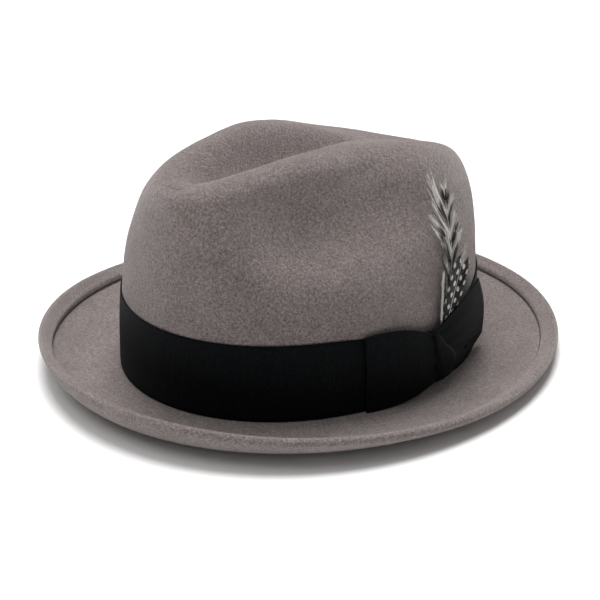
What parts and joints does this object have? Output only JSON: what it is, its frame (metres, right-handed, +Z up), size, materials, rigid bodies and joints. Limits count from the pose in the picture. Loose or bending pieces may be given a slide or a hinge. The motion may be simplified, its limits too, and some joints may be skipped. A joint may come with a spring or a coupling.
{
  "type": "fedora hat",
  "caption": "Soft felt fedora with a pinched teardrop crown, curled welted brim, wide ribbon band with a flat bow, a feather trim, and a lined inside with a sweatband.",
  "frame": {"origin": "On the table, below the middle of the hat's outline", "axes": "+Z up, -Y the hat's front, +X the wearer's left, where the bow and the feathers are"},
  "size_m": [0.2749, 0.2943, 0.1255],
  "materials": {
    "felt": "soft brushed wool felt, warm grey",
    "welt_thread": "dark grey sewing thread",
    "ribbon": "black grosgrain ribbon",
    "feather_striped": "barred grey, black and white feather",
    "feather_spotted": "black feather with white spots",
    "feather_pale": "pale trimmed feather",
    "leather": "dark brown sweatband leather",
    "sweatband_thread": "tan sewing thread",
    "satin": "charcoal satin lining",
    "clear_film": "clear soft plastic film",
    "label": "blank woven label"
  },
  "bodies": {
    "hat": {"felt_body": "felt", "welt_stitching": "welt_thread", "hat_band": "ribbon", "band_tack_front": "ribbon", "band_tack_right": "ribbon", "band_tack_rear": "ribbon", "bow_front_leaf": "ribbon", "bow_rear_leaf": "ribbon", "bow_knot": "ribbon", "sweatband": "leather", "sweatband_reed": "leather", "sweatband_stitching": "sweatband_thread", "sweatband_bow": "ribbon", "lining_side": "satin", "lining_tip": "satin", "tip_shield": "clear_film", "size_label": "label", "care_label": "label"},
    "feather_trim": {"feather_striped": "feather_striped", "feather_spotted": "feather_spotted", "feather_pale": "feather_pale", "quill_binding": "ribbon"}
  },
  "joints": [
    {"name": "feather_slide", "type": "slide", "parent": "hat", "child": "feather_trim", "axis": [0, 0, 1], "range_m": [0, 0.03]}
  ]
}
